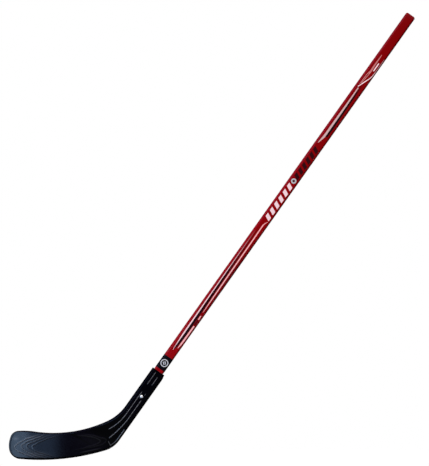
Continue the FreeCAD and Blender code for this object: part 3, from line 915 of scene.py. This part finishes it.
# Lines below the bars. Stations are (distance up the shaft, lower edge, upper edge).
decal(
    "lower_cream_line",
    [
        stripe(
            (353, 1.8, 2.2),
            (372, 2.4, 4.0),
            (398, 2.4, 5.5),
            (470, 3.5, 6.4),
            (566, 5.0, 6.9),
            (740, 6.2, 7.4),
        ),
    ],
    printed("cream_ink", CREAM, fades=[(0.60, 0.74)]),
)
decal(
    "lower_black_line",
    [
        stripe(
            (359, -0.6, 1.6),
            (372, -2.8, 2.2),
            (398, -4.4, 2.3),
            (470, -3.0, 3.0),
            (566, -0.4, 4.6),
            (780, 2.4, 5.4),
        ),
    ],
    printed("black_ink", INK_BLACK, fades=[(0.60, 0.78)]),
    lift=UNDERPRINT_LIFT,
)
decal(
    "lower_pink_line",
    [
        stripe((365, -6.4, -5.4), (376, -8.6, -5.0), (395, -9.4, -5.2), (437.5, -9.2, -5.6)),
        stripe((458, -8.6, -5.4), (470, -7.6, -5.6)),
        stripe((480, -6.2, -5.4), (520, -6.2, -3.8), (576, -5.6, -2.7), (640, -4.9, -2.0), (700, -4.4, -1.4)),
        stripe(
            (700, -4.4, -1.4),
            (746, -3.6, -0.9),
            (760, -3.4, -1.1),
            (766, -5.0, -3.0),
            (773, -8.0, -7.2),
            step=2.0,
        ),
    ],
    printed("pink_ink", PINK),
)
decal(
    "lower_dark_dash",
    [stripe((441, -9.0, -5.2), (456, -8.6, -5.2))],
    printed("dark_ink", (0.06, 0.002, 0.004)),
)

# A row of plain slanted bars, white below the ring and dot and black above them.
BARS = 6
BAR_LENGTH = 11.0
BAR_LOW, BAR_HIGH, BAR_LEAN = -8.0, 6.6, 7.0
WHITE_START, WHITE_SPACING = 776.0, 19.4
BLACK_START, BLACK_SPACING = 907.0, 16.9
DOT = 901.0 - 0.6j


def bars(start, spacing):
    return [slanted(start + spacing * i, BAR_LENGTH, BAR_LOW, BAR_HIGH, BAR_LEAN) for i in range(BARS)]


decal("white_bars", bars(WHITE_START, WHITE_SPACING), printed("white_ink", (0.86, 0.60, 0.58)))
decal("print_ring", [ring(DOT, 7.0, 3.6)], printed("ring_ink", (0.42, 0.46, 0.44)))
decal("print_dot", [disc(DOT, 2.6)], printed("dot_ink", (0.03, 0.03, 0.03)))
decal("black_bars", bars(BLACK_START, BLACK_SPACING), printed("bar_black_ink", (0.028, 0.002, 0.003)))

# Lines above the bars
decal(
    "upper_grey_line",
    [
        stripe(
            (1021, 5.0, 6.4),
            (1032, 2.0, 5.8),
            (1044, -0.8, 5.0),
            (1100, -0.4, 4.6),
            (1158, 0.4, 4.0),
            (1200, 1.6, 4.2),
        ),
    ],
    printed("grey_ink", GREY),
)
decal(
    "upper_black_line",
    [
        stripe(
            (1045, -6.4, -1.0),
            (1070, -6.4, -0.4),
            (1120, -5.4, -0.2),
            (1180, -4.0, 0.2),
            (1218, -3.2, 0.4),
        ),
    ],
    printed("upper_black_ink", INK_BLACK, fades=[(1.18, 1.22)]),
    lift=UNDERPRINT_LIFT,
)
decal(
    "upper_white_line",
    [
        stripe(
            (1202, 4.6, 6.6),
            (1222, -3.2, -0.8),
            (1240, -9.8, -7.8),
            (1252, -11.0, -9.4),
            (1299, -11.0, -9.8),
        ),
    ],
    printed("white_line_ink", (0.92, 0.68, 0.66), fades=[(1.22, 1.33)]),
)
decal(
    "upper_pink_lines",
    [
        stripe((1210, 5.6, 6.4), (1225, 4.6, 6.0), (1240, 4.2, 5.5), (1252, 3.2, 4.2)),
        stripe((1214, 3.4, 4.4), (1225, 1.8, 3.2), (1240, 0.2, 1.6), (1252, -0.8, 0.4)),
    ],
    printed("faint_pink_ink", PINK, share=0.5),
)
decal(
    "upper_pink_wash",
    [stripe((1246, 0.4, 3.0), (1256, -1.4, 3.4), (1268, -0.4, 3.8), (1286, 0.4, 3.6), (1306, 1.2, 2.8))],
    printed("wash_ink", PINK, share=0.35),
    lift=UNDERPRINT_LIFT,
)
decal(
    "upper_white_dash",
    [slanted(1258, 24.0, -6.0, -3.2, 1.6)],
    printed("dash_ink", (0.85, 0.6, 0.58)),
)

# Plain ring and diamond on the band
EMBLEM = 313.0
decal(
    "band_emblem",
    [ring(EMBLEM, 10.4, 8.0), ring(EMBLEM, 5.2, 2.6, sides=4)],
    black_label("emblem_print", (0.62, 0.60, 0.58), (0.5, 0.48, 0.47)),
    base=BAND_THICKNESS,
)


# ---------------------------------------------------------------- stage


FLOOR_RADIUS = 2.4
FLOOR_STRENGTH = 0.045
FLOOR_FADE_START = 0.45


def floor_look(radius):
    """A pale matt floor, faint in the middle and gone before its edge."""
    material = bpy.data.materials.new("floor")
    material.use_nodes = True
    nodes, links = material.node_tree.nodes, material.node_tree.links
    shader = nodes["Principled BSDF"]
    shader.inputs["Base Color"].default_value = (0.93, 0.93, 0.93, 1)
    shader.inputs["Roughness"].default_value = 0.9
    shader.inputs["Specular IOR Level"].default_value = 0.1
    place = nodes.new("ShaderNodeTexCoord")
    length = nodes.new("ShaderNodeVectorMath")
    length.operation = "LENGTH"
    fade = nodes.new("ShaderNodeMapRange")
    fade.interpolation_type = "SMOOTHSTEP"
    fade.inputs["From Min"].default_value = radius * FLOOR_FADE_START
    fade.inputs["From Max"].default_value = radius
    fade.inputs["To Min"].default_value = FLOOR_STRENGTH
    fade.inputs["To Max"].default_value = 0
    links.new(place.outputs["Object"], length.inputs[0])
    links.new(length.outputs["Value"], fade.inputs["Value"])
    links.new(fade.outputs["Result"], shader.inputs["Alpha"])
    return material


def build_floor(radius, sides=96):
    """A disc under the stick, as part of the stage."""
    angle = np.exp(1j * np.linspace(0, 2 * np.pi, sides, endpoint=False))
    mesh = bpy.data.meshes.new("floor")
    mesh.from_pydata([(radius * a.real, radius * a.imag, 0) for a in angle], [], [list(range(sides))])
    mesh.materials.append(floor_look(radius))
    floor = bpy.data.objects.new("floor", mesh)
    bpy.context.scene.collection.objects.link(floor)


LIT_POINT = Vector((0, 0, 0.5))
SOFTBOXES = [
    # name, azimuth, elevation, distance, width, height, power, colour
    ("left_high_box", -42, 37, 4.0, 2.6, 1.8, 12, (0.50, 0.36, 1.0)),
    ("left_low_box", -50, 0, 4.0, 2.6, 1.6, 85, (0.46, 0.68, 1.0)),
    ("left_mid_box", -29, 0, 4.0, 1.2, 1.4, 13, (0.36, 0.56, 1.0)),
    ("left_fill", -12, 4, 4.0, 1.2, 1.6, 2.4, (0.46, 0.36, 1.0)),
    ("top_box", 5, 52, 4.0, 2.5, 2.5, 225, (1.0, 0.98, 0.96)),
    ("back_box", 185, 52, 4.5, 2.4, 2.4, 160, (1.0, 1.0, 1.0)),
    ("right_box", 130, 12, 4.5, 2.0, 1.6, 90, (1.0, 1.0, 1.0)),
]


def softbox(name, azimuth, elevation, distance, width, height, power, colour):
    """An area light that faces the middle of the stick. Azimuth 0 is the camera's side and -90 the toe's."""
    light = bpy.data.lights.new(name, "AREA")
    light.shape = "RECTANGLE"
    light.size, light.size_y = width, height
    light.energy = power
    light.color = colour
    lamp = bpy.data.objects.new(name, light)
    a, e = math.radians(azimuth), math.radians(elevation)
    out = Vector((math.sin(a) * math.cos(e), -math.cos(a) * math.cos(e), math.sin(e)))
    lamp.location = LIT_POINT + out * distance
    lamp.rotation_mode = "QUATERNION"
    lamp.rotation_quaternion = out.to_track_quat("Z", "Y")
    lamp.visible_camera = False
    bpy.context.scene.collection.objects.link(lamp)


WORLD_TINT = (0.6, 0.6, 1, 1)
WORLD_STRENGTH = 0.02


def build_world():
    """White where the camera looks past the stick, and dim in reflections."""
    world = bpy.data.worlds.new("studio")
    world.use_nodes = True
    nodes, links = world.node_tree.nodes, world.node_tree.links
    dim = nodes["Background"]
    dim.inputs["Color"].default_value = WORLD_TINT
    dim.inputs["Strength"].default_value = WORLD_STRENGTH
    white = nodes.new("ShaderNodeBackground")
    white.inputs["Color"].default_value = (1, 1, 1, 1)
    path = nodes.new("ShaderNodeLightPath")
    choose = nodes.new("ShaderNodeMixShader")
    links.new(path.outputs["Is Camera Ray"], choose.inputs["Fac"])
    links.new(dim.outputs[0], choose.inputs[1])
    links.new(white.outputs[0], choose.inputs[2])
    links.new(choose.outputs[0], nodes["World Output"].inputs["Surface"])
    bpy.context.scene.world = world


# The camera looks level at the stick's near side from so far that its view is almost parallel. The view's
# middle and height are in metres.
CAMERA_DISTANCE = 40.0
VIEW_MIDDLE = (0.00745, 0.5979)
VIEW_HEIGHT = 1.2274
SENSOR = 36.0


def build_camera():
    data = bpy.data.cameras.new("camera")
    data.sensor_width = SENSOR
    data.lens = SENSOR * CAMERA_DISTANCE / VIEW_HEIGHT
    data.clip_end = 2 * CAMERA_DISTANCE
    camera = bpy.data.objects.new("camera", data)
    middle_x, middle_z = VIEW_MIDDLE
    camera.location = (middle_x, FOOT.y - CAMERA_DISTANCE, middle_z)
    camera.rotation_euler = (math.radians(90), 0, 0)
    bpy.context.scene.collection.objects.link(camera)
    bpy.context.scene.camera = camera


build_floor(FLOOR_RADIUS)
build_world()
for box in SOFTBOXES:
    softbox(*box)
build_camera()
bpy.context.scene.view_settings.view_transform = "Standard"
